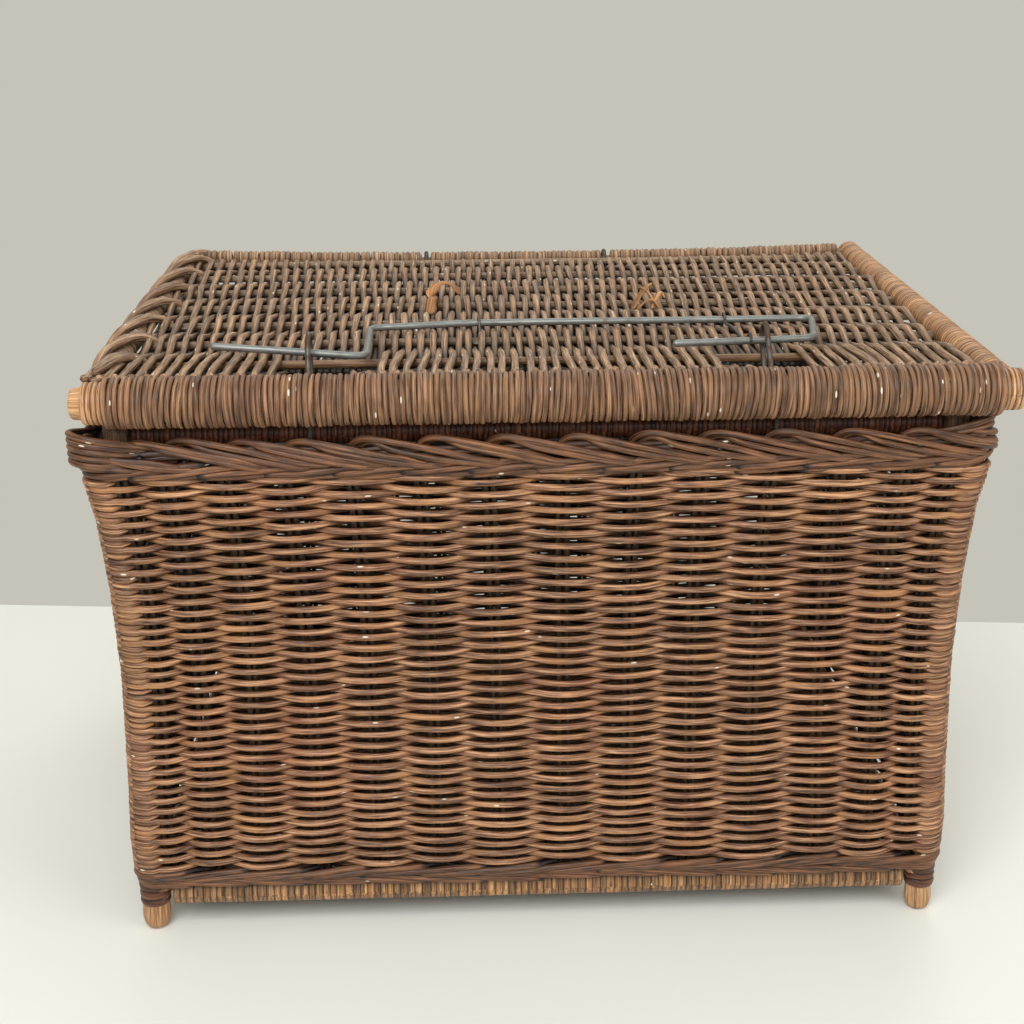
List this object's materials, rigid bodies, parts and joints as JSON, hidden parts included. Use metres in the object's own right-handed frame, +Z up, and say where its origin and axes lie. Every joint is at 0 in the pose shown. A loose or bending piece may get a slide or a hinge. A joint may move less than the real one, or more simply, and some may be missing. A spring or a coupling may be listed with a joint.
{
  "type": "laundry hamper with lid",
  "caption": "Rectangular woven cane hamper on corner-post feet, with a flat woven lid that hinges at the back and a bent steel sliding bar that locks it.",
  "frame": {"origin": "middle of the bounding box, on the ground under the feet", "axes": "+X to the right across the front, +Y from the front to the hinged back, +Z up"},
  "size_m": [0.6066, 0.469, 0.4242],
  "materials": {
    "body_reed": "weathered brown round reed",
    "border_reed": "weathered dark brown round reed",
    "lid_reed": "dusty grey-brown round reed",
    "roll_reed": "grey-brown round reed",
    "pole_cane": "tan rattan pole",
    "wrap_cane": "ochre split cane",
    "dark_cane": "reddish-brown split cane",
    "bar_steel": "dull grey steel with some rust",
    "wire_steel": "dark oxidised wire",
    "stub_cane": "orange-tan split cane"
  },
  "bodies": {
    "basket": {"corner_post_front_left": "pole_cane", "corner_post_front_right": "pole_cane", "corner_post_back_left": "pole_cane", "corner_post_back_right": "pole_cane", "bottom_rail_front": "wrap_cane", "bottom_rail_back": "wrap_cane", "bottom_rail_left": "wrap_cane", "bottom_rail_right": "wrap_cane", "top_rail_front": "dark_cane", "top_rail_back": "dark_cane", "top_rail_left": "dark_cane", "top_rail_right": "dark_cane", "bottom_wale_front": "body_reed", "woven_wall_front": "body_reed", "top_border_front": "border_reed", "bottom_wale_back": "body_reed", "woven_wall_back": "body_reed", "top_border_back": "border_reed", "bottom_wale_left": "body_reed", "woven_wall_left": "body_reed", "top_border_left": "border_reed", "bottom_wale_right": "body_reed", "woven_wall_right": "body_reed", "top_border_right": "border_reed", "woven_floor": "body_reed", "base_stick_1": "pole_cane", "base_stick_2": "pole_cane", "base_stick_3": "pole_cane", "base_stick_4": "pole_cane", "base_stick_5": "pole_cane", "hasp_eye_left": "wire_steel", "hinge_ring_left": "wire_steel", "hasp_eye_right": "wire_steel", "hinge_ring_right": "wire_steel"},
    "lid": {"lid_front_pole": "pole_cane", "lid_front_roll": "roll_reed", "lid_back_rail": "pole_cane", "lid_side_rail_left": "pole_cane", "lid_side_wrap_left": "wrap_cane", "lid_side_rail_right": "pole_cane", "lid_side_wrap_right": "wrap_cane", "lid_back_wrap_left": "lid_reed", "lid_back_wrap_middle": "lid_reed", "lid_back_wrap_right": "lid_reed", "lid_cross_rod_1": "lid_reed", "lid_cross_rod_2": "lid_reed", "lid_cross_rod_3": "lid_reed", "lid_cross_rod_4": "lid_reed", "lid_cross_rod_5": "lid_reed", "lid_cross_rod_6": "lid_reed", "lid_cross_rod_7": "lid_reed", "lid_woven_panel": "lid_reed", "bar_keeper_left": "wire_steel", "handle_stub_left": "stub_cane", "bar_keeper_right": "wire_steel", "handle_stub_right": "stub_cane"},
    "lock_bar": {"lock_bar": "bar_steel"}
  },
  "joints": [
    {"name": "lid_hinge", "type": "hinge", "parent": "basket", "child": "lid", "pos_m": [0.00325, 0.222, 0.392], "axis": [-1, 0, 0], "range_deg": [0, 110]},
    {"name": "lock_bar_slide", "type": "slide", "parent": "lid", "child": "lock_bar", "axis": [1, 0, 0], "range_m": [0, 0.067]}
  ]
}
